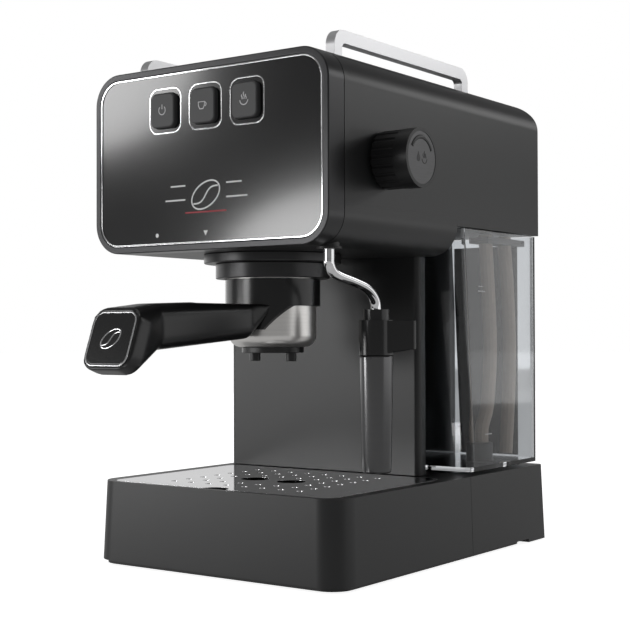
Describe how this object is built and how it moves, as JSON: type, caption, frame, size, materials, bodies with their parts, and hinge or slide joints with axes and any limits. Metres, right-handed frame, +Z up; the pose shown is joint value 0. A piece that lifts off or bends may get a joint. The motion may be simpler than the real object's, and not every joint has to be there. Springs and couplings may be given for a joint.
{
  "type": "espresso machine",
  "caption": "Compact pump espresso machine with a boxy head over a drip base, lever portafilter, side steam wand and knob, rear water tank and cup rails.",
  "frame": {"origin": "on the table, at the middle foot under the centre of the body", "axes": "+X to the machine's right, -Y out of its front, +Z up"},
  "size_m": [0.2, 0.3253, 0.3045],
  "materials": {
    "bezel_metal": "satin dark grey",
    "black_plastic": "satin black",
    "body_plastic": "satin charcoal, fine texture",
    "brass_fitting": "machined",
    "brushed_plate": "brushed",
    "button_cap": "matte dark grey",
    "cast_alloy": "cast",
    "ceramic_white": "glazed",
    "chrome_line": "bright",
    "circuit_board": "satin green",
    "clear_hose": "translucent beige silicone",
    "copper_pipe": "drawn tube",
    "cup_metal": "satin warm silver",
    "gasket_rubber": "matte red-brown",
    "grip_gloss": "gloss black",
    "group_metal": "satin dark grey",
    "handle_plastic": "satin black",
    "knob_face": "satin grey",
    "panel_gloss": "high gloss black",
    "pipe_chrome": "bright",
    "polished_steel": "polished",
    "rail_metal": "satin silver",
    "rubber": "matte",
    "sleeve_metal": "dark gloss",
    "tank_clear": "clear smoked plastic"
  },
  "bodies": {
    "root": {"base_pan": "black_plastic", "rubber_feet": "rubber", "rear_base": "body_plastic", "column_shell": "body_plastic", "rear_cover": "body_plastic", "head_lower_shell": "body_plastic", "head_upper_shell": "body_plastic", "tank_roof": "black_plastic", "front_bezel": "bezel_metal", "chrome_trim": "chrome_line", "front_panel": "panel_gloss", "button_rings": "chrome_line", "button_board": "circuit_board", "control_board": "circuit_board", "cup_plate": "brushed_plate", "cup_rail_left": "rail_metal", "cup_rail_right": "rail_metal", "steam_valve": "brass_fitting", "steam_feed": "copper_pipe", "wand_gland": "black_plastic", "group_flange": "group_metal", "lock_ring": "group_metal", "group_head": "cast_alloy", "group_gasket": "gasket_rubber", "shower_screen": "polished_steel", "boiler_lower": "cast_alloy", "boiler_upper": "cast_alloy", "heating_element": "polished_steel", "boiler_bolts": "polished_steel", "thermostats": "ceramic_white", "pump": "brass_fitting", "pump_mounts": "rubber", "pressure_hose": "clear_hose", "cord_gland": "black_plastic", "case_screws": "polished_steel"},
    "drip_tray": {"drip_tray": "body_plastic"},
    "drip_grille": {"drip_grille": "polished_steel"},
    "power_button": {"power_button": "button_cap"},
    "coffee_button": {"coffee_button": "button_cap"},
    "steam_button": {"steam_button": "button_cap"},
    "steam_knob": {"steam_knob": "black_plastic", "knob_face": "knob_face", "valve_stem": "brass_fitting"},
    "steam_wand": {"wand_swivel": "pipe_chrome", "steam_pipe": "pipe_chrome", "wand_grip": "grip_gloss", "froth_sleeve": "sleeve_metal", "steam_nozzle": "pipe_chrome"},
    "portafilter": {"portafilter_body": "cup_metal", "portafilter_collar": "grip_gloss", "filter_basket": "polished_steel", "portafilter_handle": "handle_plastic", "handle_cap": "panel_gloss", "handle_trim": "chrome_line", "coffee_spout": "black_plastic"},
    "water_tank": {"water_tank": "tank_clear", "suction_hose": "clear_hose", "return_hose": "clear_hose", "hose_clip": "black_plastic", "strainer": "black_plastic"}
  },
  "joints": [
    {"name": "tray_slide", "type": "slide", "parent": "root", "child": "drip_tray", "axis": [0, -1, 0], "range_m": [0, 0.15]},
    {"name": "grille_lift", "type": "slide", "parent": "drip_tray", "child": "drip_grille", "axis": [0, 0, 1], "range_m": [0, 0.006]},
    {"name": "power_press", "type": "slide", "parent": "root", "child": "power_button", "axis": [0, 1, 0], "range_m": [0, 0.0012], "stiffness_N_per_m": 600},
    {"name": "coffee_press", "type": "slide", "parent": "root", "child": "coffee_button", "axis": [0, 1, 0], "range_m": [0, 0.0012], "stiffness_N_per_m": 600},
    {"name": "steam_press", "type": "slide", "parent": "root", "child": "steam_button", "axis": [0, 1, 0], "range_m": [0, 0.0012], "stiffness_N_per_m": 600},
    {"name": "knob_turn", "type": "hinge", "parent": "root", "child": "steam_knob", "pos_m": [0.087, -0.0695, 0.2332], "axis": [1, 0, 0], "range_deg": [0, 150]},
    {"name": "wand_swing", "type": "hinge", "parent": "root", "child": "steam_wand", "pos_m": [0.07, -0.101, 0.18], "axis": [0, 0, 1], "range_deg": [-90, 15]},
    {"name": "portafilter_turn", "type": "hinge", "parent": "root", "child": "portafilter", "pos_m": [0, -0.06, 0.172], "axis": [0, 0, 1], "range_deg": [-45, 0]},
    {"name": "tank_slide", "type": "slide", "parent": "root", "child": "water_tank", "axis": [1, 0, 0], "range_m": [0, 0.11]}
  ]
}
